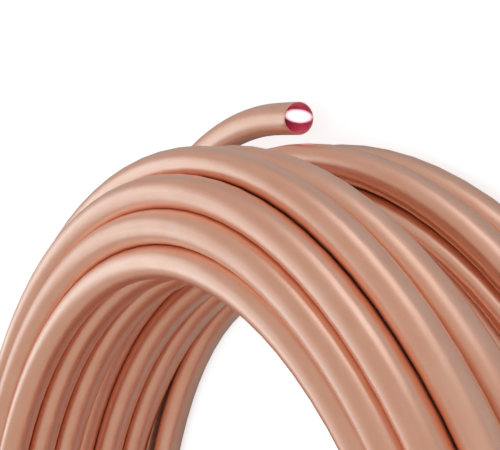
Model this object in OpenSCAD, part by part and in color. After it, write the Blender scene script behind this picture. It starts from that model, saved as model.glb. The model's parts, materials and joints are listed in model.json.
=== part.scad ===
// Coil of soft copper tube, lying on one face with its axis upright.
// The winding is one turned solid: its turns show on both faces, on the rim and round the eye.
// The last turn springs clear of the rim and ends open, cut square.
// The origin is on the floor, in the middle of the eye.

/* [Tube] */
// Outside diameter of the tube
tube_od = 22; // [15:0.5:28]
// Wall thickness of the tube
tube_wall = 1; // [0.8:0.1:1.5]

/* [Winding] */
// Radius from the coil's axis to the centre line of the innermost turns
eye_turn_r = 310; // [250:1:400]
// Turns side by side in the innermost layer
inner_turns = 6; // [6:1:9]
// Turns side by side in the second layer
second_turns = 7; // [7:1:10]
// Turns side by side in the third layer
third_turns = 6; // [6:1:9]
// Gap between neighbouring turns
turn_gap = 0.3; // [0.1:0.1:1]
// Gap that is left in the innermost layer after its third turn
inner_gap = 15.5; // [0:0.5:20]
// Gap that is left in the outer layer between its second turn and its third
outer_gap = 34; // [24:1:40]
// Gap between the last two turns of the outer layer
last_turn_gap = 3.3; // [0.5:0.1:8]

/* [Free end] */
// How much wider than the rim the last turn bends where it springs clear
spring_widening = 41; // [35:1:60]
// How much narrower than the rim it bends where it comes back
return_narrowing = 15; // [5:1:25]
// How much the wall draws down, inside and outside, where the tube springs clear
spring_draw = 0.05; // [0.03:0.01:0.1]
// Length of the straight, round end
end_straight = 28; // [20:1:60]

/* [Hidden] */
$fn = 96;

bore_d = tube_od - 2 * tube_wall;
pitch = tube_od + turn_gap;

// Places of the turns along the coil's axis, measured down from the first turn of the outer layer.
// The inner layers stand out a little above it on the upper face.
inner_start = -0.66 * tube_od;
second_start = -0.81 * tube_od;
third_start = -0.66 * tube_od;
inner_z = [for (i = [0 : inner_turns - 1]) inner_start + i * pitch + (i > 2 ? inner_gap : 0)];
second_z = [for (i = [0 : second_turns - 1]) second_start + i * pitch];
// The first turn of the outer layer wedges the third layer's first two turns apart.
third_wedged = 0.55 * tube_od;
third_z = [third_start, for (i = [0 : third_turns - 2]) third_wedged + i * pitch];
outer_z = [
    0,
    pitch,
    pitch + tube_od + outer_gap,
    pitch + 2 * tube_od + outer_gap + last_turn_gap
];

// Radius at which a turn at z comes to rest on the turns of the layer below it
function seat_r(z, below_z, below_r) = max([
    for (i = [0 : len(below_z) - 1])
        let (aside = abs(z - below_z[i]))
        aside < pitch ? below_r[i] + sqrt(pitch * pitch - aside * aside) : 0
]);
inner_r = [for (z = inner_z) eye_turn_r];
second_r = [for (z = second_z) seat_r(z, inner_z, inner_r)];
third_r = [for (z = third_z) seat_r(z, second_z, second_r)];
outer_r = [for (z = outer_z) seat_r(z, third_z, third_r)];

last_turn_r = outer_r[3];
last_turn_z = outer_z[3];
// The coil lies on the lowest turn of the second layer.
lying_face_z = max(second_z) + tube_od / 2;

// The centre lines that bound the winding's section, once round it, without the last turn.
// Third-layer turns floor the gap in the outer layer.
gap_floor = [
    for (i = [0 : third_turns - 1])
        if (third_z[i] > outer_z[1] && third_z[i] < outer_z[2]) [third_r[i], third_z[i]]
];
turn_before_last = [outer_r[2], outer_z[2]];
turn_under_last = [third_r[third_turns - 1], third_z[third_turns - 1]];
turn_between_them = [second_r[second_turns - 2], second_z[second_turns - 2]];
section_outline = concat(
    [for (i = [inner_turns - 1 : -1 : 0]) [inner_r[i], inner_z[i]]],
    [[second_r[0], second_z[0]], [third_r[0], third_z[0]]],
    [[outer_r[0], outer_z[0]], [outer_r[1], outer_z[1]]],
    gap_floor,
    [turn_before_last, turn_under_last],
    [[second_r[second_turns - 1], second_z[second_turns - 1]]]
);

// The last turn leaves the rim in a quarter bend that is wider than the rim, and sinks a little.
// A second quarter bend brings it back and lifts it. Each is turned a little about the tube's axis.
leave_angle = 93.2;
spring_bend_r = last_turn_r + spring_widening;
return_bend_r = last_turn_r - return_narrowing;
spring_roll = 1.4;
return_roll = -5.4;

// Distance of the sprung tube from the coil's axis, some degrees past where it leaves
function sprung_r(past) = sqrt(pow(spring_bend_r, 2) - pow(spring_widening * sin(past), 2))
    - spring_widening * cos(past);
// The last turn starts where the sprung tube over it has risen clear of it.
clear_angle = min([for (past = [10 : 120]) if (sprung_r(past) > last_turn_r + pitch) past]);

module winding() {
    rotate_extrude() {
        for (turn = section_outline)
            translate(turn)
                circle(d = tube_od);
        polygon(section_outline);
    }
}

// The last turn, with the fillings between it, the turn beside it and the turn under it
module last_turn() {
    rotate_extrude(angle = clear_angle - 360) {
        translate([last_turn_r, last_turn_z])
            circle(d = tube_od);
        polygon([[last_turn_r, last_turn_z], turn_under_last, turn_between_them, turn_before_last]);
    }
}

module tube_section(draw = 0) {
    difference() {
        circle(d = tube_od - 2 * draw);
        circle(d = bore_d + 2 * draw);
    }
}

// A quarter bend that starts at the origin along +Y and curves towards -X.
// What follows it starts at its end.
module quarter_bend(r, roll, draw = 0) {
    rotate([0, roll, 0])
        translate([-r, 0, 0]) {
            rotate_extrude(angle = 90)
                translate([r, 0])
                    tube_section(draw);
            rotate([0, 0, 90])
                translate([r, 0, 0])
                    children();
        }
}

module sprung_end() {
    translate([last_turn_r, 0, last_turn_z])
        quarter_bend(spring_bend_r, spring_roll, spring_draw)
            quarter_bend(return_bend_r, return_roll)
                rotate([-90, 0, 0])
                    linear_extrude(end_straight)
                        tube_section();
}

module copper_tube() {
    color("#c98763")
        rotate([180, 0, 0])
            translate([0, 0, -lying_face_z]) {
                winding();
                rotate([0, 0, leave_angle]) {
                    last_turn();
                    sprung_end();
                }
            }
}

copper_tube();
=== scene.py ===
"""Looks of a 50 m coil of soft copper tube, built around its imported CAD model.

The coil lies on its face with its axis upright. Every turn is modelled here as the hollow tube that it is:
one length that winds through four layers, steps over from turn to turn on one side of the coil, and springs
clear of the rim to its open end.
"""

import json
import logging
from dataclasses import dataclass, field
from enum import Enum
from math import atan2, cos, degrees, pi, radians, sin, sqrt
from typing import Any

import bmesh
import bpy
from mathutils import Matrix, Vector


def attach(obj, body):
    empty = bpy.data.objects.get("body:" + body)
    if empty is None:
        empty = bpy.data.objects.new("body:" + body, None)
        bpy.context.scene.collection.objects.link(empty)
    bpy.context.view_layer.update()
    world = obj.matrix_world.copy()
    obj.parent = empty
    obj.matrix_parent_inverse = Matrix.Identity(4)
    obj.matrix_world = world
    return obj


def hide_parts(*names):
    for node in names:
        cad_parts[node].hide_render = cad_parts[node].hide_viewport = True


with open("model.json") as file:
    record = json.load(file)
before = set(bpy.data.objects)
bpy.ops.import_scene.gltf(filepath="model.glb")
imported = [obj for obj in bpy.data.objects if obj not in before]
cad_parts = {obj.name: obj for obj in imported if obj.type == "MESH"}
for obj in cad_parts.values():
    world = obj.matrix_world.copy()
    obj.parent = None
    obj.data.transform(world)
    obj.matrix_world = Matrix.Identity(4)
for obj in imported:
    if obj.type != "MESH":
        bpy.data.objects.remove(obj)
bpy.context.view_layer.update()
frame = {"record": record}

log = logging.getLogger("copper_coil")

MM = 0.001
PLACE_ON_TUBE = "place_on_tube"
IN_BORE = "in_bore"

IN_VIEW = (0.0, 0.25, 0.08)

Colour = tuple[float, float, float, float]
Tint = tuple[float, float, float]
Place = tuple[float, float, float]


class Wall(Enum):
    """The two skins of the tube's wall."""

    OUTSIDE = "outside"
    INSIDE = "inside"


def smooth(share: float) -> float:
    """Returns a share from 0 to 1, eased at both ends."""
    share = min(max(share, 0.0), 1.0)
    return share * share * (3 - 2 * share)


def mix(start: float, end: float, share: float) -> float:
    """Returns the value that lies a share of the way from start to end."""
    return start + (end - start) * share


def eased(span: tuple[float, float], angle: float) -> float:
    """Returns how much of a span of angles is passed, eased at both ends."""
    return smooth((angle - span[0]) / (span[1] - span[0]))


@dataclass(frozen=True)
class Tube:
    """The tube's section and its open end, in metres."""

    outside_r: float
    bore_r: float
    edge_round: float = 0.35 * MM
    deburr: float = 0.2 * MM
    sides: int = 27

    @classmethod
    def from_record(cls, record: dict[str, Any]) -> "Tube":
        """Reads the tube's size from the mounts at its open end.

        Args:
            record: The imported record.

        Returns:
            The tube's section.
        """
        mounts = {mount["name"]: mount for mount in record["mounts"]}
        return cls(
            outside_r=mounts["open_end_outside"]["dims"]["r_mm"] * MM,
            bore_r=mounts["open_end_bore"]["dims"]["r_mm"] * MM,
        )

    @property
    def diameter(self) -> float:
        """The outside diameter."""
        return 2 * self.outside_r


@dataclass(frozen=True)
class Station:
    """A ring's place on the tube's centre line, and how far along the tube it is."""

    centre: Vector
    along: Vector
    outward: Vector
    run: float


@dataclass(frozen=True)
class Layer:
    """One layer of turns.

    The places run down the coil's axis, in metres from the outer layer's first turn, in the order in which
    the turns are wound. Each turn steps over to the next between two angles, in degrees round from +Y.
    """

    places: tuple[float, ...]
    steps: tuple[tuple[float, float], ...]


@dataclass
class Winding:
    """The layers of turns, and the line that the tube follows through them."""

    tube: Tube
    eye_turn_r: float = 310 * MM
    pitch: float = 22.3 * MM
    inner_turns: int = 6
    inner_start: float = -14.52 * MM
    inner_gap: float = 15.5 * MM
    second_turns: int = 7
    second_start: float = -17.82 * MM
    third_turns: int = 6
    third_start: float = -14.52 * MM
    third_wedged: float = 12.1 * MM
    outer_places: tuple[float, ...] = (0.0, 22.3 * MM, 78.3 * MM, 103.6 * MM)
    last_turn_r: float = 375.162 * MM
    rings_a_turn: int = 96
    turn_from: float = -95.0
    plain_step: tuple[float, float] = (205.0, 265.0)
    wide_step: tuple[float, float] = (195.0, 265.0)
    late_step: tuple[float, float] = (225.0, 265.0)
    climb: tuple[float, float] = (205.0, 240.0)
    shift: tuple[float, float] = (230.0, 265.0)
    leave_at: float = 183.2
    settle_from: float = 120.0
    inner_end_at: float = -75.0
    inner_end_sweep: float = 45.0
    inner_end_lift: float = 20 * MM
    stiffness: int = 2
    waver: float = 0.2 * MM
    waves_a_turn: float = 3.0
    wave_slip: float = 1.7
    calm_over: float = 30.0
    layers: list[Layer] = field(init=False)

    def __post_init__(self) -> None:
        """Lays out the places of the turns, layer by layer, in winding order."""
        inner = [
            self.inner_start + i * self.pitch + (self.inner_gap if i > 2 else 0.0)
            for i in range(self.inner_turns)
        ]
        second = [self.second_start + i * self.pitch for i in range(self.second_turns)]
        third = [self.third_start]
        third += [self.third_wedged + i * self.pitch for i in range(self.third_turns - 1)]
        self.layers = [
            Layer(tuple(reversed(inner)), (self.plain_step,) * len(inner)),
            Layer(tuple(second), (self.plain_step,) * len(second)),
            Layer(tuple(reversed(third)), (self.plain_step,) * len(third)),
            Layer(self.outer_places, (self.plain_step, self.wide_step, self.late_step, self.late_step)),
        ]

    @property
    def lying_face(self) -> float:
        """The place along the axis of the face that the coil lies on."""
        return max(self.layers[1].places) + self.tube.outside_r

    def angle(self, ring: int) -> float:
        """Returns a ring's angle within its turn, in degrees round from +Y."""
        return self.turn_from + 360 * ring / self.rings_a_turn

    def place(self, layer: Layer, turn: int, angle: float) -> float:
        """Works out where a turn lies along the axis as it steps over to the next.

        Args:
            layer: The layer that the turn is in.
            turn: The turn's number in the layer.
            angle: Degrees round from +Y, within the turn.

        Returns:
            The place along the axis, in metres.
        """
        here = layer.places[turn]
        if turn + 1 == len(layer.places):
            return here
        return mix(here, layer.places[turn + 1], eased(layer.steps[turn], angle))

    def seats(self) -> list[list[list[float]]]:
        """Works out how far from the axis each ring of each turn comes to rest on the layer below.

        Returns:
            Radii in metres, by layer, turn and ring.
        """
        radii = [[[self.eye_turn_r] * self.rings_a_turn for _ in self.layers[0].places]]
        for below, layer in zip(self.layers, self.layers[1:]):
            turns = []
            for turn in range(len(layer.places)):
                rest = [
                    self.seat(below, radii[-1], self.place(layer, turn, self.angle(ring)), ring)
                    for ring in range(self.rings_a_turn)
                ]
                turns.append(self.relaxed(rest))
            radii.append(turns)
        return radii

    def seat(self, below: Layer, below_radii: list[list[float]], place: float, ring: int) -> float:
        """Finds where a tube rests on the turns of the layer below it.

        Args:
            below: The layer below.
            below_radii: The radii of its turns, by turn and ring.
            place: The tube's place along the axis, in metres.
            ring: The ring's number within its turn.

        Returns:
            The tube's distance from the axis, in metres.
        """
        resting = [0.0]
        for turn, radii in enumerate(below_radii):
            aside = abs(place - self.place(below, turn, self.angle(ring)))
            if aside < self.tube.diameter:
                resting.append(radii[ring] + sqrt(self.tube.diameter**2 - aside**2))
        return max(resting)

    def relaxed(self, radii: list[float]) -> list[float]:
        """Averages each radius of a turn with its neighbours, as a stiff tube takes them.

        Args:
            radii: The radii round one turn.

        Returns:
            The radii, as many, with their corners taken off.
        """
        last, reach = len(radii) - 1, self.stiffness
        around = range(-reach, reach + 1)
        return [sum(radii[min(max(i + j, 0), last)] for j in around) / len(around) for i in range(len(radii))]

    def point(self, angle: float, radius: float, place: float) -> Vector:
        """Returns the point at an angle round from +Y, a distance from the axis and a place along it."""
        turned = radians(angle)
        return Vector((radius * sin(turned), radius * cos(turned), self.lying_face - place))

    def steps_over(self, centre: Vector) -> bool:
        """Tells whether a point is on the side where the turns step over."""
        return self.climb[0] < degrees(atan2(centre.x, centre.y)) % 360 < self.shift[1]

    def is_last_turn(self, number: int, turn: int) -> bool:
        """Tells whether a turn is the one that springs clear."""
        return number == len(self.layers) - 1 and turn == len(self.layers[number].places) - 1

    def is_wound(self, number: int, turn: int, angle: float) -> bool:
        """Tells whether the tube is there: the first turn starts late, and the last leaves early.

        Args:
            number: The layer's number, from the inside.
            turn: The turn's number in the layer.
            angle: Degrees round from +Y, within the turn.

        Returns:
            True where there is tube.
        """
        if number == 0 and turn == 0:
            return angle >= self.inner_end_at
        if self.is_last_turn(number, turn):
            return angle <= self.leave_at - 180 / self.rings_a_turn
        return True

    def ring_centre(self, radii: list[list[list[float]]], number: int, turn: int, ring: int) -> Vector:
        """Finds the centre of one ring of the winding.

        Args:
            radii: Where each ring rests on the layer below, by layer, turn and ring.
            number: The layer's number, from the inside.
            turn: The turn's number in the layer.
            ring: The ring's number in the turn.

        Returns:
            A point of the tube's centre line.
        """
        layer, angle = self.layers[number], self.angle(ring)
        radius, place = radii[number][turn][ring], self.place(layer, turn, angle)
        wave = self.waver * sin(radians(self.waves_a_turn * angle) + self.wave_slip * turn + number)
        if turn == len(layer.places) - 1 and number + 1 < len(self.layers):
            radius = mix(radius, radii[number + 1][0][0], eased(self.climb, angle))
            place = mix(place, self.layers[number + 1].places[0], eased(self.shift, angle))
        if number == 0 and turn == 0:
            settled = smooth((angle - self.inner_end_at) / self.inner_end_sweep)
            radius -= self.inner_end_lift * (1 - settled)
        if self.is_last_turn(number, turn):
            radius = mix(radius, self.last_turn_r, eased((self.settle_from, self.leave_at), angle))
            wave *= smooth((self.settle_from - angle) / self.calm_over)
        return self.point(angle, radius + wave, place)

    def line(self) -> list[Vector]:
        """Follows the tube through the whole winding, from its inner end to where it leaves the rim.

        Returns:
            Points on the tube's centre line.
        """
        radii = self.seats()
        return [
            self.ring_centre(radii, number, turn, ring)
            for number, layer in enumerate(self.layers)
            for turn in range(len(layer.places))
            for ring in range(self.rings_a_turn)
            if self.is_wound(number, turn, self.angle(ring))
        ]


@dataclass
class SprungEnd:
    """The end of the tube, which springs off the rim in two quarter bends and ends in a short straight."""

    winding: Winding
    leave_angle: float = 93.2
    spring_widening: float = 41 * MM
    spring_roll: float = 1.4
    return_narrowing: float = 15 * MM
    return_roll: float = -5.4
    straight: float = 28 * MM
    rings_a_bend: int = 48
    rings_on_straight: int = 4

    def bend(self, start: Matrix, radius: float, roll: float) -> tuple[list[Vector], Matrix]:
        """Makes a quarter bend that leaves along +Y and curves towards -X.

        Args:
            start: The place where the bend starts.
            radius: The bend's radius.
            roll: Degrees that the bend is turned about the tube.

        Returns:
            The points on the centre line, without the first, and the place where the bend ends.
        """
        plane = start @ Matrix.Rotation(radians(roll), 4, "Y") @ Matrix.Translation((-radius, 0, 0))
        points = []
        for ring in range(1, self.rings_a_bend + 1):
            turned = pi / 2 * ring / self.rings_a_bend
            points.append(plane @ Vector((radius * cos(turned), radius * sin(turned), 0)))
        end = plane @ Matrix.Rotation(pi / 2, 4, "Z") @ Matrix.Translation((radius, 0, 0))
        return points, end

    def line(self) -> list[Vector]:
        """Follows the tube from the leaving point to its mouth.

        Returns:
            Points on the centre line, the leaving point first.
        """
        coil = self.winding
        start = (
            Matrix.Rotation(pi, 4, "X")
            @ Matrix.Translation((0, 0, coil.outer_places[-1] - coil.lying_face))
            @ Matrix.Rotation(radians(self.leave_angle), 4, "Z")
            @ Matrix.Translation((coil.last_turn_r, 0, 0))
        )
        spring, on_top = self.bend(start, coil.last_turn_r + self.spring_widening, self.spring_roll)
        back, end = self.bend(on_top, coil.last_turn_r - self.return_narrowing, self.return_roll)
        ahead = [
            end @ Vector((0, self.straight * ring / self.rings_on_straight, 0))
            for ring in range(1, self.rings_on_straight + 1)
        ]
        return [start.translation.copy(), *spring, *back, *ahead]


@dataclass
class CopperCoil:
    """The whole tube as one hollow piece."""

    tube: Tube
    winding: Winding
    end: SprungEnd
    inside_every: int = 2
    fine_length: float = 0.35
    shade_angle: float = 40.0
    weld: float = 1e-6

    def stations(self) -> list[Station]:
        """Works out each ring's place, square to the tube and without twist.

        Returns:
            The stations in order, from the inner end to the open end.
        """
        points = self.winding.line() + self.end.line()
        stations = []
        run = 0.0
        outward = Vector((points[0].x, points[0].y, 0))
        for i, point in enumerate(points):
            before, after = points[max(i - 1, 0)], points[min(i + 1, len(points) - 1)]
            along = (after - before).normalized()
            outward = (outward - along * outward.dot(along)).normalized()
            run += (point - before).length
            stations.append(Station(point, along, outward.copy(), run))
        return stations

    def mouth(self, at: Station, sign: int) -> list[tuple[Station, float, Wall]]:
        """Rounds the wall's edge over at an open end, from the outside to the bore.

        Args:
            at: The station at the mouth.
            sign: 1 where the tube runs out of the mouth, -1 where it starts there.

        Returns:
            Rings as station, radius and wall, in order from the outside to the inside.
        """
        tube = self.tube
        rings = []
        for turned in (0, 30, 60, 90):
            back = tube.edge_round * (1 - sin(radians(turned)))
            inset = tube.edge_round * (1 - cos(radians(turned)))
            rings.append((self.moved(at, -sign * back), tube.outside_r - inset, Wall.OUTSIDE))
        for turned in (0, 45, 90):
            back = tube.deburr * (1 - cos(radians(turned)))
            inset = tube.deburr * (1 - sin(radians(turned)))
            rings.append((self.moved(at, -sign * back), tube.bore_r + inset, Wall.INSIDE))
        return rings

    @staticmethod
    def moved(at: Station, ahead: float) -> Station:
        """Returns a station a little further along the tube."""
        return Station(at.centre + at.along * ahead, at.along, at.outward, at.run + ahead)

    def rings(self) -> list[tuple[Station, float, Wall]]:
        """Lists every ring of the tube's skin: out along the outside and back along the bore.

        Returns:
            Rings as station, radius and wall.
        """
        stations = self.stations()
        last = stations[-1].run
        inner, outer = self.mouth(stations[0], -1), self.mouth(stations[-1], 1)
        outside = [(s, self.tube.outside_r, Wall.OUTSIDE) for s in stations[1:-1]]
        bore = [
            (s, self.tube.bore_r, Wall.INSIDE)
            for i, s in enumerate(stations[1:-1])
            if i % self.inside_every == 0
            or self.winding.steps_over(s.centre)
            or last - s.run < self.fine_length
            or s.run < self.fine_length
        ]
        return inner[::-1] + outside + outer + bore[::-1]

    def build(self) -> bpy.types.Object:
        """Rolls a sheet into the tube and joins its edges.

        Returns:
            The tube as one closed mesh.
        """
        rings = self.rings()
        sheet = bmesh.new()
        marks = sheet.verts.layers.float_vector.new(PLACE_ON_TUBE)
        skins = sheet.verts.layers.float.new(IN_BORE)
        half = 0.5
        bmesh.ops.create_grid(sheet, x_segments=len(rings), y_segments=self.tube.sides, size=half)
        for corner in sheet.verts:
            station, radius, wall = rings[round((corner.co.x + half) * len(rings)) % len(rings)]
            turned = 2 * pi * (corner.co.y + half)
            aside = station.along.cross(station.outward)
            corner.co = station.centre + radius * (cos(turned) * station.outward + sin(turned) * aside)
            corner[marks] = Vector((station.run, radius * cos(turned), radius * sin(turned)))
            corner[skins] = 1.0 if wall is Wall.INSIDE else 0.0
        bmesh.ops.remove_doubles(sheet, verts=sheet.verts, dist=self.weld)
        bmesh.ops.recalc_face_normals(sheet, faces=sheet.faces)
        for face in sheet.faces:
            face.smooth = True
        mesh = bpy.data.meshes.new("copper_tube_coil")
        sheet.to_mesh(mesh)
        sheet.free()
        mesh.set_sharp_from_angle(angle=radians(self.shade_angle))
        piece = bpy.data.objects.new("copper_tube_coil", mesh)
        bpy.context.scene.collection.objects.link(piece)
        return piece

    def dress(self, piece: bpy.types.Object, finish: "CopperFinish") -> None:
        """Gives the tube its finish."""
        piece.data.materials.append(finish.material())


def socket(group: bpy.types.NodeTree, name: str, into: bool, kind: str, value: Any = None) -> None:
    """Adds a named socket to a node group.

    Args:
        group: The node group.
        name: The socket's name.
        into: True for an input.
        kind: The socket's type, such as Float.
        value: Its default value.
    """
    made = group.interface.new_socket(
        name=name, in_out="INPUT" if into else "OUTPUT", socket_type=f"NodeSocket{kind}"
    )
    if value is not None:
        made.default_value = value


@dataclass(frozen=True)
class Grain:
    """One mark that a drawing die leaves: a noise, drawn out along the tube and cut to a mask."""

    name: str
    lengthwise: float
    density: float
    detail: float
    low: float
    high: float

    def add(self, group: bpy.types.NodeTree, given: bpy.types.Node, out: bpy.types.Node) -> None:
        """Adds the mark to a node group.

        Args:
            group: The node group.
            given: Its input node.
            out: Its output node.
        """
        nodes, links = group.nodes, group.links
        drawn = nodes.new("ShaderNodeVectorMath")
        drawn.operation = "MULTIPLY"
        drawn.inputs[1].default_value = (self.lengthwise, 1, 1)
        links.new(given.outputs["Place"], drawn.inputs[0])
        noise = nodes.new("ShaderNodeTexNoise")
        noise.inputs["Detail"].default_value = self.detail
        noise.inputs["Roughness"].default_value = 0.6
        links.new(drawn.outputs["Vector"], noise.inputs["Vector"])
        links.new(given.outputs[f"{self.name} density"], noise.inputs["Scale"])
        spread = nodes.new("ShaderNodeMapRange")
        spread.interpolation_type = "SMOOTHSTEP"
        spread.inputs["From Min"].default_value = self.low
        spread.inputs["From Max"].default_value = self.high
        links.new(noise.outputs["Fac"], spread.inputs["Value"])
        links.new(spread.outputs["Result"], out.inputs[self.name])


GRAINS = (
    Grain("Lines", lengthwise=0.004, density=900.0, detail=3.0, low=0.3, high=0.7),
    Grain("Bands", lengthwise=0.02, density=160.0, detail=2.0, low=0.32, high=0.68),
    Grain("Mottle", lengthwise=0.4, density=90.0, detail=4.0, low=0.3, high=0.7),
    Grain("Specks", lengthwise=0.7, density=700.0, detail=2.0, low=0.62, high=0.74),
)


def drawn_copper_group() -> bpy.types.NodeTree:
    """Gathers the marks of the drawing die in one node group.

    Returns:
        A group from a place on the tube, and a density for each mark, to a mask of each mark.
    """
    group = bpy.data.node_groups.new("drawn_copper", "ShaderNodeTree")
    socket(group, "Place", True, "Vector")
    for grain in GRAINS:
        socket(group, f"{grain.name} density", True, "Float", grain.density)
        socket(group, grain.name, False, "Float")
    given, out = group.nodes.new("NodeGroupInput"), group.nodes.new("NodeGroupOutput")
    for grain in GRAINS:
        grain.add(group, given, out)
    return group


@dataclass(frozen=True)
class CopperFinish:
    """Bare soft copper, semi-bright, with the lines of the drawing die along it and a dull bore, whose deep
    crimson colour is painted shade.
    """

    bright: Colour = (0.95, 0.60, 0.45, 1.0)
    warm: Colour = (0.93, 0.55, 0.40, 1.0)
    speck: Colour = (0.75, 0.40, 0.28, 1.0)
    speck_share: float = 0.3
    # Painted shade: this deep crimson stands in for the reddened, darkened light deep inside the tube.
    bore: Colour = (0.78, 0.14, 0.24, 1.0)
    smoothest: float = 0.3
    roughest: float = 0.4
    bore_roughness: float = 0.5
    bore_dullness: float = 0.6
    line_depth: float = 0.012 * MM
    line_strength: float = 0.3
    speck_depth: float = 0.01 * MM
    speck_strength: float = 0.2

    def material(self) -> bpy.types.Material:
        """Builds the material from the drawn copper group.

        Returns:
            The material.
        """
        made = bpy.data.materials.new("drawn_copper")
        made.use_nodes = True
        nodes, links = made.node_tree.nodes, made.node_tree.links
        shader = nodes["Principled BSDF"]
        place = nodes.new("ShaderNodeAttribute")
        place.attribute_name = PLACE_ON_TUBE
        bore = nodes.new("ShaderNodeAttribute")
        bore.attribute_name = IN_BORE
        marks = nodes.new("ShaderNodeGroup")
        marks.node_tree = drawn_copper_group()
        links.new(place.outputs["Vector"], marks.inputs["Place"])

        tone = self.blend(made, self.warm, self.bright, marks.outputs["Mottle"])
        specks = self.ranged(made, marks.outputs["Specks"], 0.0, self.speck_share)
        speckled = self.blend(made, tone, self.speck, specks)
        # Painted shade: the bore takes the deep crimson that stands in for the shade inside the tube.
        coloured = self.blend(made, speckled, self.bore, bore.outputs["Fac"])
        links.new(coloured, shader.inputs["Base Color"])
        metal = self.ranged(made, bore.outputs["Fac"], 1.0, 1.0 - self.bore_dullness)
        links.new(metal, shader.inputs["Metallic"])

        gloss = self.ranged(made, marks.outputs["Bands"], self.smoothest, self.roughest)
        duller = self.ranged(made, bore.outputs["Fac"], 0.0, self.bore_roughness - self.smoothest)
        rough = nodes.new("ShaderNodeMath")
        rough.operation = "ADD"
        links.new(gloss, rough.inputs[0])
        links.new(duller, rough.inputs[1])
        links.new(rough.outputs["Value"], shader.inputs["Roughness"])

        lines = self.bump(made, marks.outputs["Lines"], self.line_depth, self.line_strength)
        pits = self.bump(made, marks.outputs["Specks"], self.speck_depth, self.speck_strength)
        pits.invert = True
        links.new(lines.outputs["Normal"], pits.inputs["Normal"])
        links.new(pits.outputs["Normal"], shader.inputs["Normal"])
        return made

    @staticmethod
    def bump(
        made: bpy.types.Material, mask: bpy.types.NodeSocket, depth: float, strength: float
    ) -> bpy.types.Node:
        """Raises the surface where a mask is 1.

        Args:
            made: The material.
            mask: The mask.
            depth: How high it raises the surface, in metres.
            strength: How much of that shows.

        Returns:
            The bump node.
        """
        node = made.node_tree.nodes.new("ShaderNodeBump")
        node.inputs["Strength"].default_value = strength
        node.inputs["Distance"].default_value = depth
        made.node_tree.links.new(mask, node.inputs["Height"])
        return node

    @staticmethod
    def ranged(
        made: bpy.types.Material, mask: bpy.types.NodeSocket, low: float, high: float
    ) -> bpy.types.NodeSocket:
        """Makes a value that runs from low to high as a mask runs from 0 to 1.

        Args:
            made: The material.
            mask: The mask.
            low: The value where the mask is 0.
            high: The value where the mask is 1.

        Returns:
            The value's socket.
        """
        node = made.node_tree.nodes.new("ShaderNodeMapRange")
        node.inputs["To Min"].default_value = low
        node.inputs["To Max"].default_value = high
        made.node_tree.links.new(mask, node.inputs["Value"])
        return node.outputs["Result"]

    @staticmethod
    def blend(
        made: bpy.types.Material, low: Colour | bpy.types.NodeSocket, high: Colour, mask: bpy.types.NodeSocket
    ) -> bpy.types.NodeSocket:
        """Blends two colours by a mask.

        Args:
            made: The material.
            low: The colour, or a colour's socket, where the mask is 0.
            high: The colour where the mask is 1.
            mask: The mask.

        Returns:
            The blended colour's socket.
        """
        node = made.node_tree.nodes.new("ShaderNodeMix")
        node.data_type = "RGBA"
        links = made.node_tree.links
        links.new(mask, node.inputs["Factor"])
        if isinstance(low, bpy.types.NodeSocket):
            links.new(low, node.inputs["A"])
        else:
            node.inputs["A"].default_value = low
        node.inputs["B"].default_value = high
        return node.outputs["Result"]


@dataclass(frozen=True)
class StudioLight:
    """A flat light, by where it hangs and the point it faces, in metres."""

    name: str
    place: Place
    faces: Place
    wide: float
    high: float
    watts: float
    tint: Tint

    def hang(self) -> None:
        """Hangs the light."""
        data = bpy.data.lights.new(self.name, "AREA")
        data.shape = "RECTANGLE"
        data.size, data.size_y = self.wide, self.high
        data.energy = self.watts
        data.color = self.tint
        light = bpy.data.objects.new(self.name, data)
        light.location = self.place
        light.rotation_mode = "QUATERNION"
        light.rotation_quaternion = (Vector(self.faces) - Vector(self.place)).to_track_quat("-Z", "Y")
        bpy.context.scene.collection.objects.link(light)


@dataclass(frozen=True)
class MouthLight:
    """A narrow light that throws a blade of light into the open end, across its middle."""

    away: Place = (0.6, -0.07, 0.36)
    lift: float = 1.0 * MM
    spread: float = 1.6
    narrowing: float = 0.52
    edge_blend: float = 0.7
    watts: float = 560.0
    tint: Tint = (0.25, 1.0, 0.65)

    def hang(self, mouth: Vector) -> None:
        """Hangs the light.

        Args:
            mouth: The middle of the open end.
        """
        data = bpy.data.lights.new("mouth_snoot", "SPOT")
        data.spot_size = radians(self.spread)
        data.spot_blend = self.edge_blend
        data.shadow_soft_size = 0.0
        data.energy = self.watts
        data.color = self.tint
        snoot = bpy.data.objects.new("mouth_snoot", data)
        away = Vector(self.away)
        snoot.location = mouth + Vector((0, self.lift, 0)) + away
        snoot.rotation_mode = "QUATERNION"
        snoot.rotation_quaternion = (-away).to_track_quat("-Z", "Y")
        snoot.scale.x = self.narrowing
        bpy.context.scene.collection.objects.link(snoot)


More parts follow.
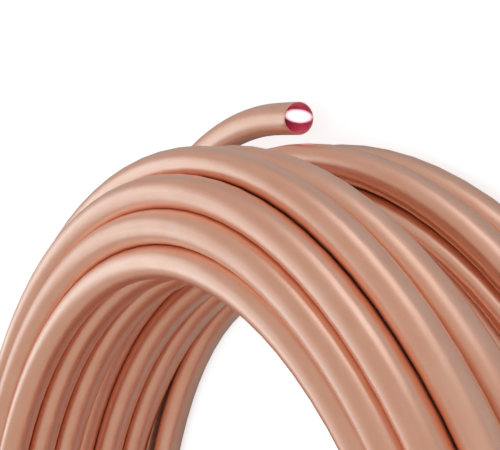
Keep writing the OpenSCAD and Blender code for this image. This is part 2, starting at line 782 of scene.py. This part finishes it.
@dataclass
class Studio:
    """The pale floor, the soft lights and the camera."""

    floor_side: float = 30.0
    floor_tone: float = 0.62
    floor_roughness: float = 0.8
    floor_glow: float = 0.72
    fill: float = 0.56
    fill_tint: Colour = (1.0, 0.85, 0.78, 1.0)
    eye: Place = (0.78046, 0.33359, 0.53086)
    heading: float = 60.10
    pitch: float = -0.06
    lens: float = 101.41
    mouth_light: MouthLight = MouthLight()
    lights: tuple[StudioLight, ...] = (
        StudioLight(
            "far_softbox",
            place=(-2.0, 0.25, 1.2),
            faces=IN_VIEW,
            wide=1.4,
            high=1.8,
            watts=3.0,
            tint=(0.50, 0.80, 1.0),
        ),
        StudioLight(
            "far_wash",
            place=(-1.9, 0.25, 0.9),
            faces=(-1.9, 0.25, 0.0),
            wide=1.0,
            high=1.8,
            watts=5.0,
            tint=(0.52, 0.80, 1.0),
        ),
        StudioLight(
            "near_panel",
            place=(1.6, 0.0, 1.7),
            faces=IN_VIEW,
            wide=0.9,
            high=0.9,
            watts=20.0,
            tint=(0.60, 0.84, 1.0),
        ),
        StudioLight(
            "head_panel",
            place=(0.0, 2.5, 0.6),
            faces=IN_VIEW,
            wide=1.5,
            high=1.0,
            watts=4.0,
            tint=(0.65, 0.85, 1.0),
        ),
    )

    def lay_floor(self) -> bpy.types.Object:
        """Lays the plain floor, which glows to the camera alone and so stays pale in the shade.

        Returns:
            The floor.
        """
        sheet = bmesh.new()
        bmesh.ops.create_grid(sheet, x_segments=1, y_segments=1, size=self.floor_side / 2)
        mesh = bpy.data.meshes.new("floor")
        sheet.to_mesh(mesh)
        sheet.free()
        floor = bpy.data.objects.new("floor", mesh)
        bpy.context.scene.collection.objects.link(floor)
        paint = bpy.data.materials.new("pale_floor")
        paint.use_nodes = True
        nodes, links = paint.node_tree.nodes, paint.node_tree.links
        shader = nodes["Principled BSDF"]
        shader.inputs["Base Color"].default_value = (self.floor_tone,) * 3 + (1,)
        shader.inputs["Roughness"].default_value = self.floor_roughness
        shader.inputs["Emission Color"].default_value = (1, 1, 1, 1)
        rays = nodes.new("ShaderNodeLightPath")
        glow = nodes.new("ShaderNodeMath")
        glow.operation = "MULTIPLY"
        glow.inputs[1].default_value = self.floor_glow
        links.new(rays.outputs["Is Camera Ray"], glow.inputs[0])
        links.new(glow.outputs["Value"], shader.inputs["Emission Strength"])
        floor.data.materials.append(paint)
        return floor

    def light(self, mouth: Vector) -> None:
        """Fills the room with dim warm light and hangs the lights.

        Args:
            mouth: The middle of the tube's open end.
        """
        world = bpy.data.worlds.new("studio")
        world.use_nodes = True
        background = world.node_tree.nodes["Background"]
        background.inputs["Color"].default_value = self.fill_tint
        background.inputs["Strength"].default_value = self.fill
        bpy.context.scene.world = world
        bpy.context.scene.view_settings.view_transform = "Standard"
        for light in self.lights:
            light.hang()
        self.mouth_light.hang(mouth)

    def place_camera(self) -> None:
        """Holds the camera on its side, looking down along the coil's upper face from beside its rim."""
        data = bpy.data.cameras.new("camera")
        data.lens = self.lens
        camera = bpy.data.objects.new("camera", data)
        turned = Matrix.Rotation(radians(self.heading), 4, "Z")
        level = Matrix.Rotation(radians(90 + self.pitch), 4, "X")
        on_its_side = Matrix.Rotation(-pi / 2, 4, "X") @ turned @ level
        camera.rotation_mode = "QUATERNION"
        camera.rotation_quaternion = on_its_side.to_quaternion()
        camera.location = self.eye
        bpy.context.scene.collection.objects.link(camera)
        bpy.context.scene.camera = camera


def main() -> None:
    """Builds the coil, dresses it and sets up the studio."""
    logging.basicConfig(level=logging.INFO, format="%(name)s: %(message)s")
    tube = Tube.from_record(frame["record"])
    winding = Winding(tube)
    coil = CopperCoil(tube, winding, SprungEnd(winding))
    piece = coil.build()
    coil.dress(piece, CopperFinish())
    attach(piece, "root")
    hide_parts("copper_tube")
    mouth = coil.stations()[-1]
    log.info("%s: %d faces, %.1f m of tube", piece.name, len(piece.data.polygons), mouth.run)
    studio = Studio()
    log.info("%s: %.0f m square", studio.lay_floor().name, studio.floor_side)
    studio.light(mouth.centre)
    studio.place_camera()


if __name__ == "__main__":
    main()
